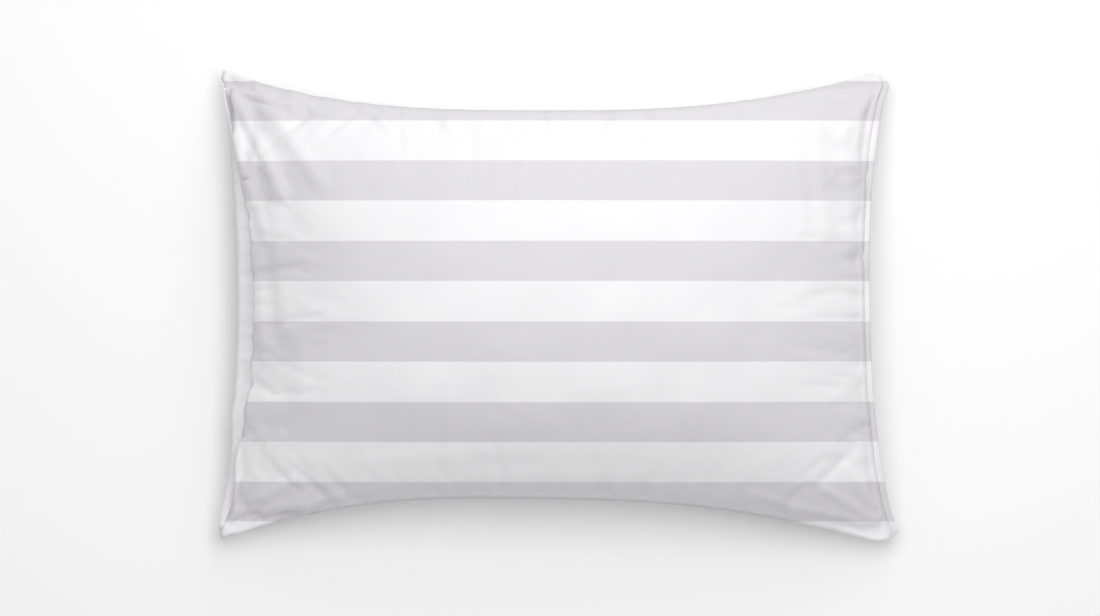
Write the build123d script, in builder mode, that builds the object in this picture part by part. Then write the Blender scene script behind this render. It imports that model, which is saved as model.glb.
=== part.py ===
from build123d import *
from math import comb
import os

os.makedirs("parts", exist_ok=True)

# A bed pillow lying flat: a fibre-filled insert inside a striped pillowcase.
# X runs along its length, with the case's open mouth at -X and its closed end at +X.
# Y runs across its width, and Z is up from the surface that it lies on.
# The origin is on that surface, under the middle of the case.

# The filled case, in millimetres, measured over its four corners.
case_length = 682.0
case_width = 478.0
crown_height = 170.0

# How far the filling draws the middle of each edge in from the line between its corners.
long_side_pull = 46.0
closed_end_pull = 20.0
mouth_pull = 20.0

# Height of the seam above the surface, at the corners and at the middle of each edge.
corner_height = 24.0
long_side_height = 66.0
closed_end_height = 60.0
mouth_fold_height = 34.0

# Cloth, thread and the room between one loose layer and the next.
cloth = 0.8
thread_width = 0.8
thread_height = 0.4
slip_gap = 0.5
fill_gap = 0.2
fill_along_gap = 7.0
fill_across_gap = 5.0
seam_gap = 1.2
stitch_end_gap = 12.0
foot_press = 2.0

# The flat stitched rim along the two long sides and the closed end of the case.
rim_width = 8.0
rim_thickness = 1.6
rim_stitch_inset = 5.5
tack_length = 9.0
tack_width = 5.0
tack_height = 2.6
tack_from_mouth = 8.0

# The front panel's mouth edge and its turned hem.
front_mouth_inset = 3.0
front_mouth_pull = 31.0
mouth_hem_depth = 30.0
hem_stitch_inset = 3.0

# The back panel's tucked-in flap, which starts at the mouth fold, and its hem.
flap_depth = 165.0
flap_along_gap = 12.0
flap_across_gap = 8.0
flap_corner_rise = 3.5
flap_hem_depth = 22.0

# The insert: how far in from the case it starts, and the heights of its seam.
insert_inset = 15.0
insert_along_gap = 24.0
insert_across_gap = 18.0
insert_corner_height = 30.0
insert_side_height = 65.0
insert_end_height = 58.0
insert_mouth_height = 37.0

# The insert's bound edge, its sewn-on label and the stitches that close its end.
binding_width = 4.0
binding_thickness = 2.8
label_length = 34.0
label_width = 56.0
label_thickness = 0.4
label_from_mouth = 60.0
label_off_centre = 104.0
label_stitch_inset = 2.0
closing_length = 190.0
closing_inset = 8.0

# Smoothness of the two skins: a higher degree lies flatter in the middle and turns
# more sharply up to the seam.
top_degree = 6
bottom_degree = 12

# A layer that lies one millimetre deeper starts this far further in from the edge.
EDGE_SLOPE = 1.2
# Tools that cut right through the pillow reach this far.
REACH = case_length

# The rows of stitches across the mouth end before the side seams by stitch_end_gap.
mouth_row = case_width - 2 * (rim_width + stitch_end_gap)

# The stack of layers, each as its depth inside the case's outer skin.
flap_top = 2 * cloth + slip_gap
flap_hem_top = flap_top + cloth
label_stitch_top = flap_hem_top + cloth + slip_gap
label_top = label_stitch_top + thread_height
insert_top = label_top + label_thickness
insert_bottom = cloth + slip_gap


class Outline:
    """The seam line of one layer: where its four edges run, and how high."""

    def __init__(self, inset=0.0, along_gap=0.0, across_gap=0.0):
        self.low_x = -case_length / 2 + max(inset, 0.0) + along_gap
        self.high_x = case_length / 2 - rim_width - inset - along_gap
        self.half_width = case_width / 2 - rim_width - inset - across_gap
        self.side_pull = long_side_pull - across_gap
        self.end_pull = closed_end_pull - along_gap
        self.mouth_pull = mouth_pull - along_gap
        self.corner, self.side = corner_height, long_side_height
        self.end, self.mouth = closed_end_height, mouth_fold_height

    def point(self, u, v, rise=1.0):
        """A point at shares u and v of the length and width, where rise multiplies the
        bow of each edge. A control point of a curve takes more rise than a point on it."""
        along, across = 4 * u * (1 - u) * rise, 4 * v * (1 - v) * rise
        x = self.low_x + (self.high_x - self.low_x) * u
        x += (self.mouth_pull * (1 - u) - self.end_pull * u) * across
        y = (2 * v - 1) * (self.half_width - self.side_pull * along)
        if v in (0, 1):
            z = self.corner + (self.side - self.corner) * along
        else:
            z = self.corner + ((self.end if u else self.mouth) - self.corner) * across
        return Vector(x, y, z)

    def edge(self, start, middle, finish, lift=0.0):
        """One edge as a parabola through three places, each given as (u, v)."""
        points = self.point(*start), self.point(*middle, rise=2.0), self.point(*finish)
        return Edge.make_bezier(*(point + Vector(0, 0, lift) for point in points))


class FlapOutline(Outline):
    """The outline that the flap follows, with its corners drawn in from the case's."""

    def __init__(self, inset=0.0):
        super().__init__(inset, flap_along_gap, flap_across_gap)
        self.corner += flap_corner_rise


class InsertOutline(Outline):
    """The seam line of the insert, whose corners stop well short of the case's."""

    def __init__(self, inset=0.0, along_gap=0.0, across_gap=0.0):
        along, across = insert_along_gap + along_gap, insert_across_gap + across_gap
        super().__init__(insert_inset + inset, along, across)
        self.corner, self.side = insert_corner_height, insert_side_height
        self.end, self.mouth = insert_end_height, insert_mouth_height


def skin(outline, degree, middle, lift=0.0):
    """One smooth sheet that spans an outline, raised by lift, and whose middle is at a
    given height."""
    rise = degree / (degree - 1)
    steps = range(degree + 1)
    grid = [[outline.point(i / degree, j / degree, rise) for j in steps] for i in steps]
    inner_share = edge_height = 0.0
    for row in grid:
        for point in row:
            point.Z += lift
    for i in steps:
        for j in steps:
            weight = comb(degree, i) * comb(degree, j) / 4**degree
            if 0 < i < degree and 0 < j < degree:
                inner_share += weight
            else:
                edge_height += weight * grid[i][j].Z
    inner = (middle - edge_height) / inner_share
    for i in steps[1:-1]:
        for j in steps[1:-1]:
            grid[i][j] = Vector(grid[i][j].X, grid[i][j].Y, inner)
    return Face.make_bezier_surface(grid)


def closed(faces):
    """The solid that a set of faces encloses."""
    solid = Solid(Shell(faces))
    return solid if solid.volume > 0 else -solid


def between(outer, inner):
    """The solid between two skins, closed by ruled strips along their four edges."""
    pairs = zip(outer.edges(), inner.edges())
    return closed([outer, inner, *(Face.make_surface_from_curves(a, b) for a, b in pairs)])


def upper(first, last, outline=Outline, start=0.0):
    """The part of a layer above the seam, from one depth to another. Its skins start
    further in than the outline by their depth below start."""
    return between(
        *(
            skin(outline(EDGE_SLOPE * (depth - start)), top_degree, crown_height - depth, seam_gap / 2)
            for depth in (first, last)
        )
    )


def lower(first, last, outline=Outline, start=0.0, press=0.0):
    """The part of a layer below the seam, where press lowers the middle of its outside."""
    outer = skin(outline(EDGE_SLOPE * (first - start)), bottom_degree, first - press, -seam_gap / 2)
    inner = skin(outline(EDGE_SLOPE * (last - start)), bottom_degree, last, -seam_gap / 2)
    return between(outer, inner)


def bowed(x, pull, half_width=case_width / 2):
    """Points of the parabola across the pillow from corner to corner that starts at x and
    is pulled in along X by its middle."""
    return (x, -half_width), (x + 2 * pull, 0), (x, half_width)


def strip(near, far):
    """A plan area between two curves across the pillow, each given as Bezier points."""
    with BuildSketch() as plan:
        with BuildLine():
            first = Bezier(*near)
            second = Bezier(*far)
            Line(first @ 0, second @ 0)
            Line(first @ 1, second @ 1)
        make_face()
    return plan.sketch


def band(places, start, stop, low, high, outline=Outline):
    """A flat band along one edge of an outline, from start to stop outside its seam line
    and from low to high about the height of that seam."""
    sides = [(start, low), (start, high), (stop, high), (stop, low)]
    curves = [outline(-out).edge(*places, lift=lift) for out, lift in sides]
    faces = [Face.make_surface_from_curves(a, b) for a, b in zip(curves, curves[1:] + curves[:1])]
    for share in (0, 1):
        faces.append(Face(Wire.make_polygon([curve @ share for curve in curves])))
    return closed(faces)


# The three closed edges of the case, each as the start, middle and finish of its seam.
EDGES = {
    "side_seam_near": ((0, 0), (0.5, 0), (1, 0)),
    "side_seam_far": ((0, 1), (0.5, 1), (1, 1)),
    "end_seam": ((1, 0), (1, 0.5), (1, 1)),
}

# The front panel's cloth, cut back to its own mouth edge.
mouth_x = -case_length / 2 + front_mouth_inset
mouth_edge = bowed(mouth_x, front_mouth_pull)
with BuildPart() as case_front_panel:
    add(upper(0.0, cloth))
    with BuildSketch():
        add(strip(mouth_edge, bowed(REACH, front_mouth_pull)))
    extrude(amount=REACH, mode=Mode.INTERSECT)
case_front_panel.part.label = "case_front_panel"
export_step(case_front_panel.part, "parts/case_front_panel.step")

# The front panel's cloth turned under at the mouth, against the panel's inner face.
with BuildPart() as front_mouth_hem:
    add(upper(cloth, 2 * cloth))
    with BuildSketch():
        add(strip(mouth_edge, bowed(mouth_x + mouth_hem_depth, front_mouth_pull)))
    extrude(amount=REACH, mode=Mode.INTERSECT)
front_mouth_hem.part.label = "front_mouth_hem"
export_step(front_mouth_hem.part, "parts/front_mouth_hem.step")

# The row of stitches that holds that hem, standing on the panel's outer face.
stitch_x = mouth_x + mouth_hem_depth - hem_stitch_inset
with BuildPart() as front_hem_stitching:
    add(upper(-thread_height, 0.0))
    with BuildSketch():
        add(strip(bowed(stitch_x - thread_width, front_mouth_pull), bowed(stitch_x, front_mouth_pull)))
        Rectangle(2 * REACH, mouth_row, mode=Mode.INTERSECT)
    extrude(amount=REACH, mode=Mode.INTERSECT)
front_hem_stitching.part.label = "front_hem_stitching"
export_step(front_hem_stitching.part, "parts/front_hem_stitching.step")

# The back panel's cloth, pressed flat where it carries the pillow.
with BuildPart() as case_back_panel:
    add(lower(0.0, cloth, press=foot_press))
    split(bisect_by=Plane.XY, keep=Keep.TOP)
case_back_panel.part.label = "case_back_panel"
export_step(case_back_panel.part, "parts/case_back_panel.step")

# The flap that carries on from the back panel's mouth fold, tucked in over the insert.
flap_x = -case_length / 2 + flap_depth
with BuildPart() as flap:
    add(upper(flap_top, flap_hem_top, FlapOutline))
    with BuildSketch():
        add(strip(bowed(-REACH, mouth_pull), bowed(flap_x, mouth_pull)))
    extrude(amount=REACH, mode=Mode.INTERSECT)
flap.part.label = "flap"
export_step(flap.part, "parts/flap.step")

# The flap's free edge turned under, against its inner face.
with BuildPart() as flap_hem:
    add(upper(flap_hem_top, flap_hem_top + cloth, FlapOutline))
    with BuildSketch():
        add(strip(bowed(flap_x - flap_hem_depth, mouth_pull), bowed(flap_x, mouth_pull)))
    extrude(amount=REACH, mode=Mode.INTERSECT)
flap_hem.part.label = "flap_hem"
export_step(flap_hem.part, "parts/flap_hem.step")

# The row of stitches that holds the flap's hem.
stitch_x = flap_x - flap_hem_depth + hem_stitch_inset
with BuildPart() as flap_hem_stitching:
    add(upper(flap_top - thread_height, flap_top, FlapOutline))
    with BuildSketch():
        add(strip(bowed(stitch_x - thread_width, mouth_pull), bowed(stitch_x, mouth_pull)))
    extrude(amount=REACH, mode=Mode.INTERSECT)
flap_hem_stitching.part.label = "flap_hem_stitching"
export_step(flap_hem_stitching.part, "parts/flap_hem_stitching.step")

# A dense bar of thread through both rims at each corner of the mouth.
tacks = {}
for name, across in (("near", 0), ("far", 1)):
    seam = Outline(-rim_width / 2).edge((0, across), (0.5, across), (1, across))
    at_mouth = seam.position_at(tack_from_mouth / seam.length)
    along = seam.tangent_at(tack_from_mouth / seam.length)
    upright = Vector(0, 0, 1) - along * along.Z
    with BuildPart(Plane(at_mouth, x_dir=along, z_dir=upright)) as tack:
        Box(tack_length, tack_width, tack_height)
    tack.part.label = f"bar_tack_{name}"
    export_step(tack.part, f"parts/bar_tack_{name}.step")
    tacks[name] = tack.part

# The flat seam rim along each side and the closed end, mitred at the corners.
for name, places in EDGES.items():
    with BuildPart() as rim:
        add(band(places, 0.0, rim_width, -rim_thickness / 2, rim_thickness / 2))
        for tack_part in tacks.values():
            add(tack_part, mode=Mode.SUBTRACT)
    rim.part.label = name
    export_step(rim.part, f"parts/{name}.step")

# The one thread that is sewn round all three rims, standing on their upper face.
thread_out = rim_stitch_inset
with BuildPart() as seam_stitching:
    for places in EDGES.values():
        height = rim_thickness / 2
        add(band(places, thread_out - thread_width, thread_out, height, height + thread_height))
    split(bisect_by=Plane.YZ.offset(tack.part.center().X), keep=Keep.TOP)
    for tack_part in tacks.values():
        add(tack_part, mode=Mode.SUBTRACT)
seam_stitching.part.label = "seam_stitching"
export_step(seam_stitching.part, "parts/seam_stitching.step")


# The folded tape that binds the insert's four edges, mitred at the corners.
with BuildPart() as edge_binding:
    for places in (*EDGES.values(), ((0, 0), (0, 0.5), (0, 1))):
        thick = binding_thickness / 2
        add(band(places, 0.0, binding_width, -thick, thick, InsertOutline))
edge_binding.part.label = "edge_binding"
export_step(edge_binding.part, "parts/edge_binding.step")

# The insert's two panels of ticking, sewn into the binding all round.
with BuildPart() as ticking_top:
    add(upper(insert_top, insert_top + cloth, InsertOutline, insert_top))
ticking_top.part.label = "ticking_top"
export_step(ticking_top.part, "parts/ticking_top.step")

with BuildPart() as ticking_bottom:
    add(lower(insert_bottom, insert_bottom + cloth, InsertOutline, insert_bottom))
ticking_bottom.part.label = "ticking_bottom"
export_step(ticking_bottom.part, "parts/ticking_bottom.step")

# The filling, which takes up all the room inside the ticking.
fill_outline = InsertOutline(EDGE_SLOPE * (cloth + 2 * fill_gap), fill_along_gap, fill_across_gap)
with BuildPart() as fibre_fill:
    above = skin(fill_outline, top_degree, crown_height - insert_top - cloth - fill_gap)
    below = skin(fill_outline, bottom_degree, insert_bottom + cloth + fill_gap)
    add(closed([above, below]))
fibre_fill.part.label = "fibre_fill"
export_step(fibre_fill.part, "parts/fibre_fill.step")

# The short row of stitches that closes the ticking after filling, near the closed end.
end_x = InsertOutline(closing_inset).high_x
end_pull = -InsertOutline().end_pull
with BuildPart() as closing_stitches:
    add(upper(insert_top - thread_height, insert_top, InsertOutline, insert_top))
    with BuildSketch():
        add(strip(bowed(end_x - thread_width, end_pull), bowed(end_x, end_pull)))
        Rectangle(2 * REACH, closing_length, mode=Mode.INTERSECT)
    extrude(amount=REACH, mode=Mode.INTERSECT)
closing_stitches.part.label = "closing_stitches"
export_step(closing_stitches.part, "parts/closing_stitches.step")

# A blank label sewn flat on the ticking near the mouth, and the thread round its border.
label_place = (InsertOutline().low_x + label_from_mouth, label_off_centre)
with BuildPart() as care_label:
    add(upper(label_top, insert_top, InsertOutline, insert_top))
    with BuildSketch():
        with Locations(label_place):
            Rectangle(label_length, label_width)
    extrude(amount=REACH, mode=Mode.INTERSECT)
care_label.part.label = "care_label"
export_step(care_label.part, "parts/care_label.step")

stitch_size = (label_length - 2 * label_stitch_inset, label_width - 2 * label_stitch_inset)
with BuildPart() as label_stitching:
    add(upper(label_stitch_top, label_top, InsertOutline, insert_top))
    with BuildSketch():
        with Locations(label_place):
            Rectangle(*stitch_size)
            Rectangle(*(size - 2 * thread_width for size in stitch_size), mode=Mode.SUBTRACT)
    extrude(amount=REACH, mode=Mode.INTERSECT)
label_stitching.part.label = "label_stitching"
export_step(label_stitching.part, "parts/label_stitching.step")
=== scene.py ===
import bpy
import numpy as np
from math import pi, radians
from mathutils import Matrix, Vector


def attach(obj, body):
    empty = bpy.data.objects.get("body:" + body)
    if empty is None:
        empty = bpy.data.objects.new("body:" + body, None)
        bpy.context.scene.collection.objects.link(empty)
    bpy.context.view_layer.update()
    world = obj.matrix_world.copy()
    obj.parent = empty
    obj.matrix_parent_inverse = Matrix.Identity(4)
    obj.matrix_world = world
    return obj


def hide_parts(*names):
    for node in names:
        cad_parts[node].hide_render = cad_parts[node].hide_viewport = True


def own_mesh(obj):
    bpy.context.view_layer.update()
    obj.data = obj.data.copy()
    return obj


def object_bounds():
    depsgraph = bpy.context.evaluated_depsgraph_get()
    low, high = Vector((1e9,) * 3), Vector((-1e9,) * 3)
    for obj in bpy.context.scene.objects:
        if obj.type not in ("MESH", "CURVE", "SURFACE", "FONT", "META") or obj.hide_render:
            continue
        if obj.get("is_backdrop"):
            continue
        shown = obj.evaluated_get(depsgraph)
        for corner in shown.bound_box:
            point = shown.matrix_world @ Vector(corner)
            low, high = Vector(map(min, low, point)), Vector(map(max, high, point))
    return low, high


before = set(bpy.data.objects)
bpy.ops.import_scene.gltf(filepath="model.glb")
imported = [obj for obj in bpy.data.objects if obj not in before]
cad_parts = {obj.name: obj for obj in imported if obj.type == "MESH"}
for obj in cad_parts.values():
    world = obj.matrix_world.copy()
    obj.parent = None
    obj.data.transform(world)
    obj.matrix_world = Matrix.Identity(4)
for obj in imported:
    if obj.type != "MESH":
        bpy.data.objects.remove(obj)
cad_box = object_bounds()
bpy.ops.object.select_all(action="DESELECT")

# The filling: a loose block of white polyester fibre, blown into the ticking. It has no
# shape of its own, so it takes the plump shape of the cover that holds it, with soft lumps.


def bow(t, power):
    """One in the middle, and falling to nothing at both ends."""
    return 1 - np.abs(2 * t - 1) ** power


def plateau(t, power):
    """Nothing at both ends, and level between them if the power is high."""
    return 1 - (1 - t) ** power - t**power


def lumps(x, y, size, seed):
    """Smooth, uneven waves of about one unit, some size metres apart."""
    total = np.zeros_like(x)
    for k in range(7):
        turn = seed * 1.7 + k * 2.4
        wave = (x * np.cos(turn) + y * np.sin(turn)) * 2 * pi / (size * (0.7 + 0.13 * k))
        total += np.sin(wave + seed * 3.1 + k * 1.9)
    return total / 3.2


def smooth_step(t):
    """Goes from 0 to 1, and is level at both."""
    t = np.clip(t, 0, 1)
    return t * t * (3 - 2 * t)


insert_mouth_x, insert_end_x = -0.304, 0.292
insert_half_width, insert_waist = 0.198, 0.026
insert_corner_z = 0.030


def insert_point(u, v, inset, above, crown, power):
    """A place on the insert: u along and v across, above its seam or below it."""
    x = (insert_mouth_x + inset) * (1 - u) + (insert_end_x - inset) * u
    x = x + (0.003 * (1 - u) + 0.004 * u) * bow(v, 2)
    y = (2 * v - 1) * (insert_half_width - inset - insert_waist * bow(u, 2.4))
    # The seam is lowest at the corners, and lifts along the sides, the mouth and the end.
    seam = insert_corner_z + 0.035 * bow(u, 2) + 0.012 * bow(v, 2) * (1 - u) + 0.020 * bow(v, 2) * u
    full = plateau(u, power) * plateau(v, power) / plateau(0.5, power) ** 2
    pucker = np.minimum(np.minimum(u, 1 - u) * 0.6, np.minimum(v, 1 - v) * 0.4)
    drawn = np.exp(-pucker / 0.016) * np.clip(pucker / 0.004, 0, 1)
    if above:
        z = seam * (1 - full) + crown * full + 0.0035 * lumps(x, y, 0.11, 2) * full
        z = z + 0.0022 * drawn * (lumps(x, y, 0.021, 5) + lumps(y, x, 0.035, 3))
    else:
        z = seam * (1 - full) + crown * full
        z = z + 0.0012 * drawn * lumps(x, y, 0.024, 4)
    return x, y, z


def cloth_grid(name, columns, rows, place, under=False):
    """A sheet of faces whose points are put in place by their shares u and v."""
    bpy.ops.mesh.primitive_grid_add(x_subdivisions=columns, y_subdivisions=rows, size=1)
    piece = bpy.context.object
    piece.name = piece.data.name = name
    points = np.empty(len(piece.data.vertices) * 3)
    piece.data.vertices.foreach_get("co", points)
    u, v = points[0::3] + 0.5, points[1::3] + 0.5
    x, y, z = place(u, v)
    points[0::3], points[1::3], points[2::3] = x, y, z
    piece.data.vertices.foreach_set("co", points)
    piece.data.update()
    if under:
        piece.data.flip_normals()
    piece.data.polygons.foreach_set("use_smooth", [True] * len(piece.data.polygons))
    return piece


def joined(name, pieces, merge=0.0):
    """Several pieces joined into one, whose edges are sewn together where they meet."""
    bpy.ops.object.select_all(action="DESELECT")
    for piece in pieces:
        piece.select_set(True)
    bpy.context.view_layer.objects.active = pieces[0]
    bpy.ops.object.join()
    whole = bpy.context.object
    whole.name = whole.data.name = name
    if merge:
        bpy.ops.object.mode_set(mode="EDIT")
        bpy.ops.mesh.select_all(action="SELECT")
        bpy.ops.mesh.remove_doubles(threshold=merge)
        bpy.ops.object.mode_set(mode="OBJECT")
    return whole


def applied(piece, kind, **settings):
    """Adds a modifier of one kind and applies it."""
    bpy.ops.object.select_all(action="DESELECT")
    piece.select_set(True)
    bpy.context.view_layer.objects.active = piece
    modifier = piece.modifiers.new(kind.lower(), kind)
    for key, value in settings.items():
        setattr(modifier, key, value)
    bpy.ops.object.modifier_apply(modifier=modifier.name)


def node(material, kind, **values):
    """A new shader node, with its settings and its inputs given by name."""
    made = material.node_tree.nodes.new("ShaderNode" + kind)
    for key, value in values.items():
        if hasattr(made, key):
            setattr(made, key, value)
        else:
            made.inputs[key.replace("_", " ")].default_value = value
    return made


def cloth_material(name, colour, deep, roughness, weave, wrinkle, sheen=0.25):
    """Woven cloth: warp and weft of a given pitch, soft rumples and uneven whiteness."""
    material = bpy.data.materials.new(name)
    material.use_nodes = True
    link = material.node_tree.links.new
    shader = material.node_tree.nodes["Principled BSDF"]
    shader.inputs["Sheen Weight"].default_value = sheen
    shader.inputs["Sheen Roughness"].default_value = 0.6
    shader.inputs["Specular IOR Level"].default_value = 0.25
    place = node(material, "TexCoord")
    cloudy = node(material, "TexNoise", Scale=14.0, Detail=4.0)
    link(place.outputs["Object"], cloudy.inputs["Vector"])
    tint = node(material, "ValToRGB")
    tint.color_ramp.elements[0].position = 0.35
    tint.color_ramp.elements[0].color = (*deep, 1)
    tint.color_ramp.elements[1].position = 0.62
    tint.color_ramp.elements[1].color = (*colour, 1)
    link(cloudy.outputs["Fac"], tint.inputs["Fac"])
    link(tint.outputs["Color"], shader.inputs["Base Color"])
    warp = node(material, "TexWave", Scale=1 / weave / 3.2, Distortion=0.6)
    warp.bands_direction = "X"
    weft = node(material, "TexWave", Scale=1 / weave / 3.2, Distortion=0.6)
    weft.bands_direction = "Y"
    crossing = node(material, "Math", operation="MAXIMUM")
    for threads, slot in ((warp, 0), (weft, 1)):
        link(place.outputs["Object"], threads.inputs["Vector"])
        link(threads.outputs["Fac"], crossing.inputs[slot])
    rumple = node(material, "TexNoise", Scale=1 / wrinkle, Detail=3.0, Roughness=0.55)
    link(place.outputs["Object"], rumple.inputs["Vector"])
    soft = node(material, "Bump", Strength=0.35, Distance=0.0012)
    link(rumple.outputs["Fac"], soft.inputs["Height"])
    fine = node(material, "Bump", Strength=0.22, Distance=0.00015)
    link(crossing.outputs[0], fine.inputs["Height"])
    link(soft.outputs["Normal"], fine.inputs["Normal"])
    link(fine.outputs["Normal"], shader.inputs["Normal"])
    worn = node(material, "MapRange", To_Min=roughness - 0.08, To_Max=roughness + 0.06)
    link(cloudy.outputs["Fac"], worn.inputs["Value"])
    link(worn.outputs["Result"], shader.inputs["Roughness"])
    return material


def dressed(piece, material):
    """Makes a piece all of one material."""
    piece.data.materials.clear()
    piece.data.materials.append(material)


fill_inset = 0.004


def fill_above(u, v):
    """The filling's upper face."""
    return insert_point(u, v, fill_inset, True, 0.1475, 3.5)


def fill_below(u, v):
    """The filling's lower face."""
    return insert_point(u, v, fill_inset, False, 0.0045, 11.0)


fibre = cloth_material("fibre_white", (0.86, 0.86, 0.85), (0.8, 0.8, 0.79), 0.95, 0.004, 0.009)
filling = joined("fibre_filling", [
    cloth_grid("fill_top", 90, 64, fill_above),
    cloth_grid("fill_below", 90, 64, fill_below, under=True),
], merge=0.0004)
dressed(filling, fibre)
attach(filling, "insert")
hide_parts("fibre_fill")

# The ticking: two panels of close-woven white cotton that hold the fibre, sewn together all
# round. It is filled plump, so it is tight in the middle and puckered along its seam.


def tick_above(u, v):
    """The upper panel."""
    return insert_point(u, v, 0.0, True, 0.1500, 3.6)


def tick_below(u, v):
    """The lower panel."""
    return insert_point(u, v, 0.0, False, 0.0024, 11.5)


tick = cloth_material("ticking_white", (0.86, 0.855, 0.84), (0.81, 0.805, 0.79), 0.8, 0.0011, 0.02)
ticking = joined("ticking_cover", [
    cloth_grid("tick_top", 150, 104, tick_above),
    cloth_grid("tick_below", 150, 104, tick_below, under=True),
], merge=0.0004)
dressed(ticking, tick)
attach(ticking, "insert")
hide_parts("ticking_top", "ticking_bottom")

# The bound edge: a folded cotton tape sewn over the two panels' edges, all round.
# It stands out a few millimetres and waves a little where the seam puckers.
tape_reach, tape_half_width, tape_half_height = 0.0018, 0.0022, 0.0011


def insert_rim(u, v, out):
    """A place on the insert's edge, moved out from it."""
    x, y, z = tick_below(u, v)
    out_x = np.where(u < 0.001, -1.0, np.where(u > 0.999, 1.0, 0.0))
    out_y = np.where(v < 0.001, -1.0, np.where(v > 0.999, 1.0, 0.0))
    wave = 0.0008 * lumps(x, y, 0.05, 8) * (out / (tape_reach + tape_half_width))
    return x + out_x * out, y + out_y * out, z + wave


def tape(start, finish):
    """One side of the binding, folded round the edge between two corners of the insert."""
    def place(u, v):
        across = v * 2 * pi
        out = tape_reach - tape_half_width * np.cos(across)
        side_u = start[0] + (finish[0] - start[0]) * u
        side_v = start[1] + (finish[1] - start[1]) * u
        x, y, z = insert_rim(side_u, side_v, out)
        return x, y, z + tape_half_height * np.sin(across)
    return place


binding = joined("bound_edge", [
    cloth_grid("tape_near", 160, 10, tape((0, 0), (1, 0))),
    cloth_grid("tape_end", 120, 10, tape((1, 0), (1, 1))),
    cloth_grid("tape_far", 160, 10, tape((1, 1), (0, 1))),
    cloth_grid("tape_mouth", 120, 10, tape((0, 1), (0, 0))),
], merge=0.00005)
bpy.ops.object.mode_set(mode="EDIT")
bpy.ops.mesh.select_all(action="SELECT")
bpy.ops.mesh.fill_holes(sides=24)
bpy.ops.mesh.normals_make_consistent(inside=False)
bpy.ops.object.mode_set(mode="OBJECT")
dressed(binding, tick)
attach(binding, "insert")
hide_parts("edge_binding")

# The closing stitches: a short row of plain machine stitches near the closed end of the
# ticking, sewn after filling. Each stitch is a rounded bar of thread, sunk into the cloth.


def thread_material(name, colour):
    """Twisted sewing thread, with a fine slanting ply."""
    material = bpy.data.materials.new(name)
    material.use_nodes = True
    link = material.node_tree.links.new
    shader = material.node_tree.nodes["Principled BSDF"]
    shader.inputs["Roughness"].default_value = 0.55
    place = node(material, "TexCoord")
    ply = node(material, "TexWave", Scale=900.0, Distortion=1.0)
    ply.bands_direction = "DIAGONAL"
    link(place.outputs["Object"], ply.inputs["Vector"])
    shade = node(material, "ValToRGB")
    shade.color_ramp.elements[0].color = (*(0.9 * c for c in colour), 1)
    shade.color_ramp.elements[1].color = (*colour, 1)
    link(ply.outputs["Fac"], shade.inputs["Fac"])
    link(shade.outputs["Color"], shader.inputs["Base Color"])
    twist = node(material, "Bump", Strength=0.4, Distance=0.0002)
    link(ply.outputs["Fac"], twist.inputs["Height"])
    link(twist.outputs["Normal"], shader.inputs["Normal"])
    return material


def stitches(name, line, pitch, stitch, width):
    """A row of rounded stitches along a line of places, one to each pitch of its length."""
    bpy.ops.mesh.primitive_uv_sphere_add(segments=6, ring_count=5, radius=0.5)
    bar = bpy.context.object
    shape = np.empty(len(bar.data.vertices) * 3)
    bar.data.vertices.foreach_get("co", shape)
    shape = shape.reshape(-1, 3)
    faces = [tuple(face.vertices) for face in bar.data.polygons]
    bpy.data.objects.remove(bar)
    line = np.asarray(line)
    steps = np.linalg.norm(np.diff(line, axis=0), axis=1)
    along = np.concatenate([[0], np.cumsum(steps)])
    places = np.arange(pitch / 2, along[-1], pitch)
    vertices, polygons = [], []
    for at in places:
        here = np.array([np.interp(at, along, line[:, k]) for k in range(3)])
        next_at = min(at + 0.001, along[-1])
        ahead = np.array([np.interp(next_at, along, line[:, k]) for k in range(3)])
        run = ahead - here
        if np.linalg.norm(run) < 1e-7:
            continue
        run = run / np.linalg.norm(run)
        side = np.cross((0, 0, 1), run)
        side = side / np.linalg.norm(side)
        up = np.cross(run, side)
        turned = np.outer(shape[:, 2] * stitch, run) + np.outer(shape[:, 0] * width, side)
        turned = turned + np.outer(shape[:, 1] * width, up)
        first = len(vertices)
        vertices.extend((turned + here).tolist())
        polygons.extend(tuple(first + k for k in face) for face in faces)
    mesh = bpy.data.meshes.new(name)
    mesh.from_pydata(vertices, [], polygons)
    mesh.polygons.foreach_set("use_smooth", [True] * len(mesh.polygons))
    row = bpy.data.objects.new(name, mesh)
    bpy.context.collection.objects.link(row)
    return row


thread = thread_material("cotton_thread", (0.84, 0.84, 0.83))
closing_line = np.stack(tick_above(np.full(120, 0.988), np.linspace(0.26, 0.74, 120)), axis=1)
closing = stitches("closing_thread", closing_line + [0, 0, 0.0002], 0.0034, 0.0027, 0.0007)
dressed(closing, thread)
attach(closing, "insert")
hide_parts("closing_stitches")

# The label: a blank strip of white satin, sewn flat on the ticking near the mouth by a line
# of stitches round its border.
label_u, label_v, label_lift = (0.105, 0.165), (0.700, 0.842), 0.0011


def on_label(u, v):
    """A place on the label, at shares of its own width and length."""
    x, y, z = tick_above(
        label_u[0] + (label_u[1] - label_u[0]) * u,
        label_v[0] + (label_v[1] - label_v[0]) * v)
    return x, y, z + label_lift


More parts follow.
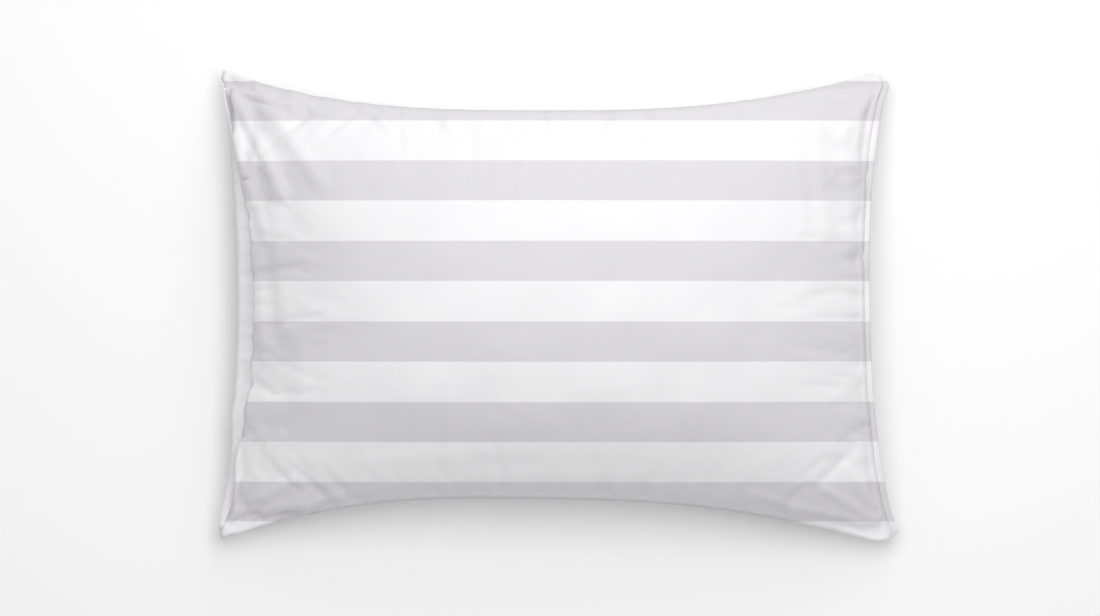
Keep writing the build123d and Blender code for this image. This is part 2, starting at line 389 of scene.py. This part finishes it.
satin = cloth_material(
    "satin_white", (0.88, 0.88, 0.88), (0.85, 0.85, 0.85), 0.35, 0.0005, 0.03, sheen=0.5)
label = cloth_grid("care_tag", 14, 22, on_label)
applied(label, "SOLIDIFY", thickness=0.0004, offset=-1)
dressed(label, satin)
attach(label, "insert")
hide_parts("care_label")
run = np.linspace(0.06, 0.94, 30)
border_u = np.concatenate([run, np.full(30, 0.94), run[::-1], np.full(30, 0.06)])
border_v = np.concatenate([np.full(30, 0.04), run, np.full(30, 0.96), run[::-1]])
border = np.stack(on_label(border_u, border_v), axis=1) + [0, 0, 0.0002]
tag_thread = stitches("tag_stitches", border, 0.0026, 0.0020, 0.0006)
dressed(tag_thread, thread)
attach(tag_thread, "insert")
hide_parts("label_stitching")

# The filled case's shape: its seam line runs from corner to corner, drawn in and lifted by
# the filling, and the front bulges above it. Its cloth is cut slightly too big and held at
# the seam, so it settles into folds of its own.
case_along, case_across, case_crown = 0.66, 0.42, 0.1640


def case_seam(u, v):
    """Plan place and height of the cloth between the four edges, before it bulges."""
    far = 0.2370 + 0.0005 * (1 - u) - 0.042 * bow(u, np.where(u < 0.5, 3.0, 2.6))
    skew = u + 0.42 * u * (1 - u)
    near = -0.2320 - 0.006 * u + 0.0455 * bow(skew, np.where(skew < 0.5, 2.0, 3.6))
    left = -0.3390 + 0.002 * v + 0.0195 * bow(v, 2.0)
    left = left - 0.0022 * np.exp(-(((v - 0.26) / 0.03) ** 2))  # a bump in the mouth's fold
    right = 0.3370 - 0.009 * v - 0.0245 * bow(v, 2.5)
    # The corner tips are blunt, more so at the closed end.
    side_way, end_way = np.minimum(v, 1 - v) * 0.47, (1 - u) * 0.67
    tip = 0.0062 * np.exp(-((side_way / 0.0060) ** 2))
    right = right - tip + 0.0040 * np.exp(-((side_way / 0.0200) ** 2))
    left = left + 0.0030 * np.exp(-((side_way / 0.0040) ** 2))
    x = left * (1 - u) + right * u
    y = near * (1 - v) + far * v
    y = y - (2 * v - 1) * 0.0045 * np.exp(-((end_way / 0.0075) ** 2))
    z = 0.024 + 0.042 * bow(u, 2) + (0.010 * (1 - u) + 0.036 * u) * bow(v, 2)
    return x, y, z


def seam_distance(u, v):
    """How far a place is from the two sides, from the closed end and from the mouth."""
    return np.minimum(v, 1 - v) * case_across, (1 - u) * case_along, u * case_along


def case_above(u, v):
    """A place on the bulged front before it has folds, a little clear of the back."""
    x, y, z = case_seam(u, v)
    full = plateau(u, 5.0) * plateau(v, 4.6) / (plateau(0.5, 5.0) * plateau(0.5, 4.6))
    sides, end, mouth = seam_distance(u, v)
    apart = 0.0045 * smooth_step(np.minimum(np.minimum(sides, end), mouth + 0.004) / 0.016)
    return x, y, z * (1 - full) + case_crown * full + apart


top_columns, top_rows = 132, 94
settling_frames, blur_reach, blur_spread, fold_cap = 20, 12, 5.0, 0.006
top = cloth_grid("case_top", top_columns, top_rows, case_above)
start_points = np.empty(len(top.data.vertices) * 3)
top.data.vertices.foreach_get("co", start_points)
start_points = start_points.reshape(-1, 3)
settled = start_points.copy()
sewn = top.vertex_groups.new(name="sewn")
row_of = np.arange(len(start_points)) // (top_columns + 1)
column_of = np.arange(len(start_points)) % (top_columns + 1)
edge = (row_of == 0) | (row_of == top_rows) | (column_of == 0) | (column_of == top_columns)
sewn.add([int(k) for k in np.nonzero(edge)[0]], 1.0, "REPLACE")
blown = top.modifiers.new("blown", "CLOTH")
blown.settings.quality = 5
blown.settings.mass = 0.2
blown.settings.tension_stiffness = 20
blown.settings.compression_stiffness = 12
blown.settings.shear_stiffness = 6
blown.settings.bending_stiffness = 0.08
blown.settings.shrink_min = -0.035
blown.settings.use_pressure = True
blown.settings.uniform_pressure_force = 4
blown.settings.effector_weights.gravity = 0
blown.settings.vertex_group_mass = "sewn"
blown.collision_settings.use_collision = False
blown.point_cache.frame_start = 1
blown.point_cache.frame_end = settling_frames
for moment in range(1, settling_frames + 1):
    bpy.context.scene.frame_set(moment)
seen = top.evaluated_get(bpy.context.evaluated_depsgraph_get())
points = np.empty(len(seen.data.vertices) * 3)
seen.data.vertices.foreach_get("co", points)
moved = (points.reshape(-1, 3) - start_points).reshape(top_rows + 1, top_columns + 1, 3)
# Only the fine folds are kept. What is left of the movement when it is blurred is the
# broad bulge, which case_above already gives.
offsets = np.arange(-blur_reach, blur_reach + 1)
weight = np.exp(-((offsets / blur_spread) ** 2))
broad = moved
for axis in (0, 1):
    spare = [(blur_reach, blur_reach) if k == axis else (0, 0) for k in range(3)]
    wide = np.pad(broad, spare, mode="edge")
    length = broad.shape[axis]
    parts = (w * np.take(wide, range(k, k + length), axis) for k, w in enumerate(weight))
    broad = sum(parts) / weight.sum()
fine = (moved - broad).reshape(-1, 3)
fold_size = np.linalg.norm(fine, axis=1, keepdims=True)
x, y = start_points[:, 0], start_points[:, 1]
lively = 0.16 + 0.75 * smooth_step((-0.16 - x) / 0.12) + 0.35 * smooth_step((x - 0.21) / 0.08)
lively += 0.35 * smooth_step((np.abs(y) - 0.11) / 0.07)
capped = np.minimum(1, fold_cap / np.maximum(fold_size, 1e-9))
settled = start_points + fine * capped * lively[:, None]
bpy.context.scene.frame_set(1)
bpy.data.objects.remove(top)
settled = settled.reshape(top_rows + 1, top_columns + 1, 3)


def cubic(t):
    """Weights of the four neighbours of a place that lies a share t between the inner two."""
    return (
        -0.5 * t + t**2 - 0.5 * t**3, 1 - 2.5 * t**2 + 1.5 * t**3,
        0.5 * t + 2 * t**2 - 1.5 * t**3, -0.5 * t**2 + 0.5 * t**3)


def on_case(u, v):
    """A smooth place on the settled cloth."""
    at, up = np.clip(u, 0, 1) * top_columns, np.clip(v, 0, 1) * top_rows
    i, j = np.minimum(at.astype(int), top_columns - 1), np.minimum(up.astype(int), top_rows - 1)
    across, along = cubic(up - j), cubic(at - i)
    place = np.zeros((len(u), 3))
    for a in range(4):
        for b in range(4):
            rows_at = np.clip(j + a - 1, 0, top_rows)
            columns_at = np.clip(i + b - 1, 0, top_columns)
            place += settled[rows_at, columns_at] * (across[a] * along[b])[:, None]
    return place


# Soft folds where the cloth is dragged from its corners and seams: each runs between two
# places in plan, and has a width and a height.
folds = (
    # From the far corner at the mouth.
    ((-0.322, 0.212), (-0.272, 0.112), 0.0075, 0.0052),
    ((-0.316, 0.170), (-0.290, 0.070), 0.0070, 0.0054),
    ((-0.326, 0.190), (-0.305, 0.105), 0.0050, 0.0042),
    ((-0.300, 0.218), (-0.236, 0.126), 0.0100, 0.0046),
    # Down along the mouth.
    ((-0.300, 0.060), (-0.291, -0.050), 0.0075, 0.0044),
    ((-0.286, 0.130), (-0.270, -0.020), 0.0100, 0.0036),
    ((-0.262, 0.060), (-0.252, -0.090), 0.0120, 0.0020),
    # Short ones at the far seam, by the mouth.
    ((-0.192, 0.202), (-0.164, 0.176), 0.0048, 0.0042),
    ((-0.176, 0.200), (-0.152, 0.180), 0.0040, 0.0034),
    ((-0.128, 0.201), (-0.102, 0.178), 0.0046, 0.0038),
    # From the near corner at the mouth.
    ((-0.318, -0.205), (-0.262, -0.172), 0.0055, 0.0034),
    ((-0.312, -0.180), (-0.276, -0.128), 0.0060, 0.0028),
    ((-0.290, -0.206), (-0.205, -0.186), 0.0055, 0.0028),
    # Along the near side.
    ((-0.190, -0.152), (-0.020, -0.143), 0.0080, 0.0014),
    ((-0.080, -0.168), (0.080, -0.166), 0.0070, 0.0013),
    # Across the closed end, and its far corner.
    ((0.240, 0.190), (0.246, 0.080), 0.0070, 0.0014),
    ((0.262, 0.196), (0.270, 0.070), 0.0070, 0.0017),
    ((0.290, 0.190), (0.296, 0.060), 0.0060, 0.0018),
    ((0.316, 0.214), (0.286, 0.170), 0.0070, 0.0022),
    # From the near corner at the closed end.
    ((0.322, -0.214), (0.272, -0.184), 0.0050, 0.0032),
    ((0.318, -0.198), (0.290, -0.160), 0.0055, 0.0024),
    ((0.262, -0.206), (0.196, -0.186), 0.0050, 0.0028),
    # Short ones along the far seam.
    ((0.060, 0.192), (0.075, 0.170), 0.0060, 0.0014),
    ((-0.020, 0.194), (-0.012, 0.172), 0.0055, 0.0014),
    ((0.150, 0.192), (0.170, 0.166), 0.0060, 0.0016),
)
fold_step = 0.004


def folded(u, v, inward=0.0):
    """Places on the case with every fold and pucker, moved inwards through the cloth."""
    spot = on_case(u, v)
    run = on_case(np.minimum(u + fold_step, 1), v) - on_case(np.maximum(u - fold_step, 0), v)
    rise = on_case(u, np.minimum(v + fold_step, 1)) - on_case(u, np.maximum(v - fold_step, 0))
    outward = np.cross(run, rise)
    outward /= np.maximum(np.linalg.norm(outward, axis=1, keepdims=True), 1e-12)
    x, y = spot[:, 0], spot[:, 1]
    height = np.zeros(len(u))
    for (x1, y1), (x2, y2), wide, high in folds:
        share = ((x - x1) * (x2 - x1) + (y - y1) * (y2 - y1)) / ((x2 - x1) ** 2 + (y2 - y1) ** 2)
        share = np.clip(share, 0, 1)
        away = np.hypot(x - x1 - share * (x2 - x1), y - y1 - share * (y2 - y1))
        # A ridge, with a shallow hollow on both sides of it.
        height += high * (np.exp(-((away / wide) ** 2)) - 0.45 * np.exp(-((away / wide / 1.9) ** 2)))
    sides, end, mouth = seam_distance(u, v)
    for near_by, along, gain in ((sides, x, 0.0016), (end, y, 0.0015)):
        hold = np.exp(-near_by / 0.014) * np.clip(near_by / 0.003, 0, 1)
        puckers = lumps(along, near_by * 0.2, 0.019, 3) + lumps(along, near_by * 0.3, 0.041, 6)
        height += gain * hold * puckers
    height += 0.0009 * lumps(x, y, 0.075, 9) * plateau(u, 8) * plateau(v, 8)
    height *= np.clip(np.minimum(np.minimum(sides, end), mouth + 0.006) / 0.006, 0, 1)
    # A fold never sinks into the back panel, and inner layers stay above it.
    room = spot[:, 2] - case_below(u, v)[2] - 0.0010
    height = np.maximum(height, np.maximum(0.0012 - room, -0.35 * room))
    return spot + outward * (height - np.minimum(inward, 0.6 * np.maximum(room, 0)))[:, None]


# The back panel: one layer of plain white cotton under the pillow, pressed flat where it
# carries the weight, and drawn up round the filling to the seams and the mouth's fold.
cloth_thickness = 0.0008


def case_below(u, v):
    """A place on the back panel, a little clear of the front at its edges."""
    x, y, z = case_seam(u, v)
    flat = plateau(u, 11.0) * plateau(v, 10.0)
    sides, end, mouth = seam_distance(u, v)
    near_by = np.minimum(np.minimum(sides, end), mouth)
    hold = np.exp(-near_by / 0.02) * np.clip(near_by / 0.004, 0, 1)
    apart = 0.0030 * smooth_step(near_by / 0.012)
    z = z * (1 - flat) + 0.0011 * flat + 0.0012 * hold * (lumps(x, y, 0.031, 2) - 1.6) - apart
    return x, y, np.maximum(z, 0.0009)


def marked(piece, x, y):
    """Writes places in plan, in metres, as the piece's UV map: one x and y for each point."""
    corner = np.empty(len(piece.data.loops), int)
    piece.data.loops.foreach_get("vertex_index", corner)
    uv = np.stack([x[corner], y[corner]], axis=1)
    piece.data.uv_layers[0].data.foreach_set("uv", uv.ravel())


def grid_shares(columns, rows):
    """The shares u and v of each point of a grid of this many columns and rows."""
    u, v = np.arange(columns + 1) / columns, np.arange(rows + 1) / rows
    return np.tile(u, rows + 1), np.repeat(v, columns + 1)


def flattens(piece):
    """Gives the piece its own copy of its mesh; nothing here moves the cloth."""
    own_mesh(piece)


plain = cloth_material(
    "plain_cotton", (0.864, 0.856, 0.868), (0.838, 0.829, 0.843), 0.75, 0.0006, 0.018)
back = cloth_grid("back_panel", 170, 120, case_below, under=True)
applied(back, "SOLIDIFY", thickness=cloth_thickness, offset=-1)
dressed(back, plain)
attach(back, "case")
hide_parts("case_back_panel")
flattens(back)

# The flap: the back panel's cloth carried on past the fold at the mouth and tucked in over
# the insert, under the front panel. Its free edge is turned under and sewn down.
flap_depth, flap_hem_start = 0.165, 0.143
seam_stitch = {"pitch": 0.0030, "stitch": 0.0024, "width": 0.0006}


def flap_place(u, v, depth, first=0.0):
    """A place on the flap, from the fold inwards, at a depth under the case's face."""
    from_fold = first + (flap_depth - first) * u
    tuck = smooth_step(from_fold / 0.010)
    return folded(from_fold / case_along, 0.022 + 0.956 * v, inward=depth * tuck)


flap_cloth = cloth_grid("flap_cloth", 60, 130, lambda u, v: flap_place(u, v, 0.0032).T)
applied(flap_cloth, "SOLIDIFY", thickness=cloth_thickness, offset=-1)
flap_hem = cloth_grid(
    "flap_hem_fold", 10, 130, lambda u, v: flap_place(u, v, 0.0042, flap_hem_start).T)
applied(flap_hem, "SOLIDIFY", thickness=cloth_thickness, offset=-1)
flap_line = flap_place(np.full(240, 0.886), np.linspace(0.03, 0.97, 240), 0.0031)
flap_thread = stitches("flap_stitches", flap_line, **seam_stitch)
dressed(flap_thread, thread)
for piece, node_name in ((flap_cloth, "flap"), (flap_hem, "flap_hem")):
    dressed(piece, plain)
    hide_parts(node_name)
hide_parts("flap_hem_stitching")
for piece in (flap_cloth, flap_hem, flap_thread):
    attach(piece, "flap")
for piece in (flap_cloth, flap_hem, flap_thread):
    flattens(piece)

# The front panel: white cotton with woven soft grey stripes along its length. It covers the
# top of the pillow from its own hemmed mouth edge to the closed end.
hem_depth = 0.030


def front_place(u, v, inward=0.0, reach=None):
    """A place on the front panel: u goes from its mouth edge to the closed end, or over a
    shorter reach in metres."""
    hold = np.where(v > 0.5, (bow(v, 2.0) + np.sin(pi * v) ** 2) / 2, bow(v, 2.0))
    mouth_x = 0.0016 + 0.0340 * hold - 0.0195 * bow(v, 2.0)
    mouth_x = mouth_x + 0.0022 * np.exp(-(((v - 0.26) / 0.035) ** 2))
    first = mouth_x / case_along
    last = 1.0 if reach is None else first + reach / case_along
    return folded(first + (last - first) * u, v, inward)


def hem_place(u, v):
    """A place on the cloth turned under at the mouth, short of the side seams."""
    return front_place(u, 0.012 + 0.976 * v, 0.0013, hem_depth)


stripe_period, stripe_width, stripe_centre = 0.0804, 0.0400, 0.0465
stripe_drift, stripe_blur = 0.0003, 0.0004
striped = cloth_material(
    "striped_cotton", (0.868, 0.860, 0.870), (0.846, 0.837, 0.849), 0.75, 0.0006, 0.018)
link = striped.node_tree.links.new
shader = striped.node_tree.nodes["Principled BSDF"]
white = shader.inputs["Base Color"].links[0].from_socket
flat_cloth = node(striped, "UVMap", uv_map="UVMap")
spread = node(striped, "SeparateXYZ")
link(flat_cloth.outputs["UV"], spread.inputs["Vector"])
wander = node(striped, "TexNoise", Scale=9.0, Detail=1.0)
link(flat_cloth.outputs["UV"], wander.inputs["Vector"])
drift = node(striped, "Math", operation="MULTIPLY")
drift.inputs[1].default_value = stripe_drift
link(wander.outputs["Fac"], drift.inputs[0])
shifted = node(striped, "Math", operation="ADD")
link(spread.outputs["Y"], shifted.inputs[0])
link(drift.outputs[0], shifted.inputs[1])
centred = node(striped, "Math", operation="SUBTRACT")
centred.inputs[1].default_value = stripe_centre + stripe_drift / 2 + stripe_period / 2
link(shifted.outputs[0], centred.inputs[0])
repeat = node(striped, "Math", operation="PINGPONG")
repeat.inputs[1].default_value = stripe_period / 2
link(centred.outputs[0], repeat.inputs[0])
stripe_edge = (stripe_period - stripe_width) / 2
in_stripe = node(
    striped, "MapRange", From_Min=stripe_edge - stripe_blur, From_Max=stripe_edge + stripe_blur)
link(repeat.outputs[0], in_stripe.inputs["Value"])
yarn = node(striped, "TexNoise", Scale=500.0, Detail=2.0)
link(flat_cloth.outputs["UV"], yarn.inputs["Vector"])
grey = node(striped, "ValToRGB")
grey.color_ramp.elements[0].color = (0.652, 0.642, 0.660, 1)
grey.color_ramp.elements[1].color = (0.697, 0.687, 0.705, 1)
link(yarn.outputs["Fac"], grey.inputs["Fac"])
dyed = node(striped, "MixRGB", blend_type="MIX")
link(in_stripe.outputs["Result"], dyed.inputs["Fac"])
link(white, dyed.inputs["Color1"])
link(grey.outputs["Color"], dyed.inputs["Color2"])
link(dyed.outputs["Color"], shader.inputs["Base Color"])

front = cloth_grid("front_panel", 236, 164, lambda u, v: front_place(u, v).T)
marked(front, *front_place(*grid_shares(236, 164)).T[:2])
applied(front, "SOLIDIFY", thickness=cloth_thickness, offset=-1)
mouth_hem = cloth_grid("mouth_hem", 14, 130, lambda u, v: hem_place(u, v).T)
marked(mouth_hem, *front_place(*grid_shares(14, 130), reach=hem_depth).T[:2])
applied(mouth_hem, "SOLIDIFY", thickness=cloth_thickness, offset=-1)
hem_line = front_place(np.full(300, 0.90), np.linspace(0.035, 0.965, 300), -0.0001, hem_depth)
mouth_thread = stitches("mouth_stitches", hem_line, **seam_stitch)
dressed(mouth_thread, thread)
for piece, node_name in ((front, "case_front_panel"), (mouth_hem, "front_mouth_hem")):
    dressed(piece, striped)
    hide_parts(node_name)
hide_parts("front_hem_stitching")
for piece in (front, mouth_hem, mouth_thread):
    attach(piece, "case")
for piece in (front, mouth_hem, mouth_thread):
    flattens(piece)

# The seam rims: front and back sewn face to face and pressed flat, along both sides and the
# closed end. They wave a little, and droop along the sides.


def rim_place(side, wide, droop):
    """Places on one rim: u along its seam, v from the seam to its outer edge."""
    def place(u, v):
        if side == "end":
            x, y, z = case_seam(np.ones_like(u), u)
            x = x + wide * v * smooth_step(np.minimum(u, 1 - u) / 0.022)
            wave = lumps(y, v * 0, 0.048, 4)
        else:
            seam_v = 1.0 if side == "far" else 0.0
            x, y, z = case_seam(u, np.full_like(u, seam_v))
            y = y + (2 * seam_v - 1) * wide * v
            x = x + wide * 0.9 * v * smooth_step((u - 0.985) / 0.015)
            wave = lumps(x, v * 0, 0.055, 3 + seam_v)
        return x, y, z - droop * v * (0.3 + 0.7 * v) + (0.0011 * v + 0.0004) * wave
    return place


rims = {
    "side_rim_near": (rim_place("near", 0.0004, 0.0070), 300, "side_seam_near"),
    "side_rim_far": (rim_place("far", 0.0004, 0.0070), 300, "side_seam_far"),
    "end_rim": (rim_place("end", 0.0068, 0.0015), 210, "end_seam"),
}
seam_lines = []
for name, (place, count, node_name) in rims.items():
    rim = cloth_grid(name, count, 5, place, under=True)
    marked(rim, *place(*grid_shares(count, 5))[:2])
    applied(rim, "SOLIDIFY", thickness=2 * cloth_thickness, offset=0)
    bpy.ops.object.mode_set(mode="EDIT")
    bpy.ops.mesh.select_all(action="SELECT")
    bpy.ops.mesh.normals_make_consistent(inside=False)
    bpy.ops.object.mode_set(mode="OBJECT")
    dressed(rim, striped)
    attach(rim, "case")
    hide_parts(node_name)
    flattens(rim)
    line = np.stack(place(np.linspace(0.02, 0.98, 400), np.full(400, 0.62)), axis=1)
    seam_lines.append(line + [0, 0, 0.0009])
rows = [stitches(f"row_{k}", line, **seam_stitch) for k, line in enumerate(seam_lines)]
rim_thread = joined("rim_stitches", rows)
dressed(rim_thread, thread)
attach(rim_thread, "case")
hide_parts("seam_stitching")
flattens(rim_thread)

# The bar tacks: a dense zigzag of thread through both rims at each corner of the mouth,
# which stops the side seams from tearing open.
tack_bars, tack_start, tack_run = 25, 0.008, 0.0125
for name, rim_name, node_name in (
    ("tack_near", "side_rim_near", "bar_tack_near"),
    ("tack_far", "side_rim_far", "bar_tack_far"),
):
    place = rims[rim_name][0]
    across = np.arange(tack_bars + 1)
    along_seam = tack_start + tack_run * across / tack_bars
    zigzag = np.stack(place(along_seam, 0.25 + 0.6 * (across % 2)), axis=1)
    bars = []
    for k in range(tack_bars):
        pair = np.stack([zigzag[k], zigzag[k + 1]]) + [0, 0, 0.0008]
        length = float(np.linalg.norm(pair[1] - pair[0]))
        bars.append(stitches(f"bar_{k}", pair, length * 0.99, length, seam_stitch["width"]))
    tack = joined(name, bars)
    dressed(tack, thread)
    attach(tack, "case")
    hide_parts(node_name)
    flattens(tack)

# The setting: a plain white floor, a pale sky, two soft lights on the far side, one overhead
# and one low, and a long lens that looks straight down on the pillow.
camera_height, seam_height, view_width = 14.0, 0.09, 1.1
bpy.ops.mesh.primitive_plane_add(size=8, location=(0, 0, 0))
floor = bpy.context.object
floor.name = "floor"
paper = bpy.data.materials.new("paper_white")
paper.use_nodes = True
shader = paper.node_tree.nodes["Principled BSDF"]
shader.inputs["Base Color"].default_value = (0.97, 0.97, 0.97, 1)
shader.inputs["Roughness"].default_value = 0.9
floor.data.materials.append(paper)
floor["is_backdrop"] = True
world = bpy.data.worlds.new("studio")
bpy.context.scene.world = world
world.use_nodes = True
sky = world.node_tree.nodes["Background"]
sky.inputs["Color"].default_value = (1.0, 0.995, 1.0, 1)
sky.inputs["Strength"].default_value = 0.57
for name, place, size, power, turn in (
    ("overhead", (0.12, 0.55, 1.9), 1.5, 18.0, (radians(-16), radians(4), 0)),
    ("window", (0.55, 1.9, 1.1), 1.2, 9.5, (radians(-58), radians(12), 0)),
):
    bpy.ops.object.light_add(type="AREA", location=place, rotation=turn)
    lamp = bpy.context.object
    lamp.name = name
    lamp.data.size = size
    lamp.data.energy = power
bpy.ops.object.camera_add(location=(-0.0055, -0.0005, camera_height), rotation=(0, 0, 0))
camera = bpy.context.object
camera.data.sensor_width = 36
camera.data.lens = camera.data.sensor_width * (camera_height - seam_height) / view_width
bpy.context.scene.camera = camera
bpy.context.scene.view_settings.view_transform = "Standard"

size = {"cad": [list(corner) for corner in cad_box], "visual": [list(corner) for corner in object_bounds()]}
